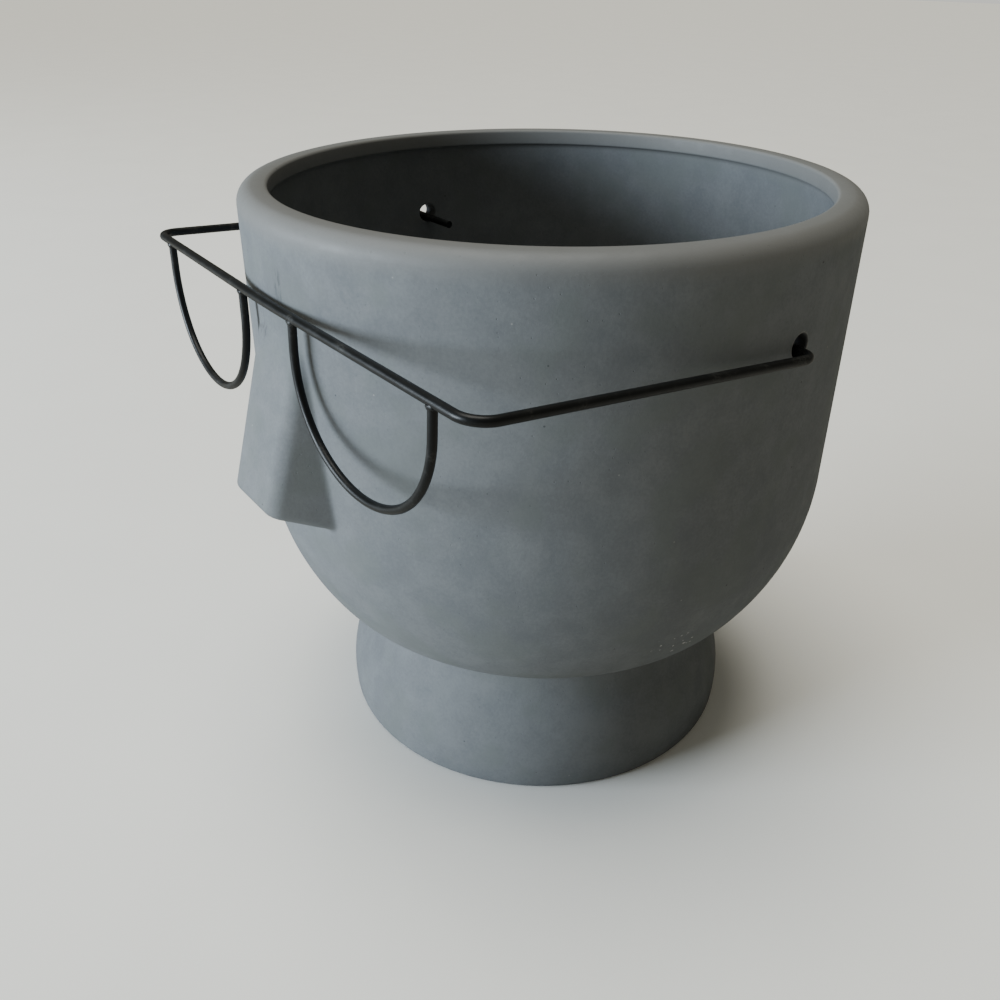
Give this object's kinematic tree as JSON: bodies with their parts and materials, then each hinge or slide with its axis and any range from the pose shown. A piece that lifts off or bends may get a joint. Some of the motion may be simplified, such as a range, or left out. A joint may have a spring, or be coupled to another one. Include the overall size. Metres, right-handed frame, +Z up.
{
  "type": "head planter",
  "caption": "Round-bottomed ceramic plant pot shaped as a plain head: wedge nose, hollow foot, and wire glasses hooked into two side holes.",
  "frame": {"origin": "centre of the foot's underside, on the pot's axis", "axes": "+Z up along the pot's axis, the face looks along -Y, +X is the head's left"},
  "size_m": [0.1704, 0.1717, 0.16],
  "materials": {
    "stoneware": "matt grey, fired without a gloss glaze",
    "plug_rubber": "matt",
    "black_wire": "satin black coat on steel wire"
  },
  "bodies": {
    "pot": {"head_pot": "stoneware"},
    "glasses": {"brow_and_temple_wire": "black_wire", "left_lens_rim": "black_wire", "right_lens_rim": "black_wire", "weld_beads": "black_wire"},
    "plug": {"drain_plug": "plug_rubber"}
  },
  "joints": [
    {"name": "glasses_swing", "type": "hinge", "parent": "pot", "child": "glasses", "pos_m": [0, 0.008, 0.13367], "axis": [-1, 0, 0], "range_deg": [-5.4, 4]},
    {"name": "plug_lift", "type": "slide", "parent": "pot", "child": "plug", "axis": [0, 0, 1], "range_m": [0, 0.13]}
  ]
}
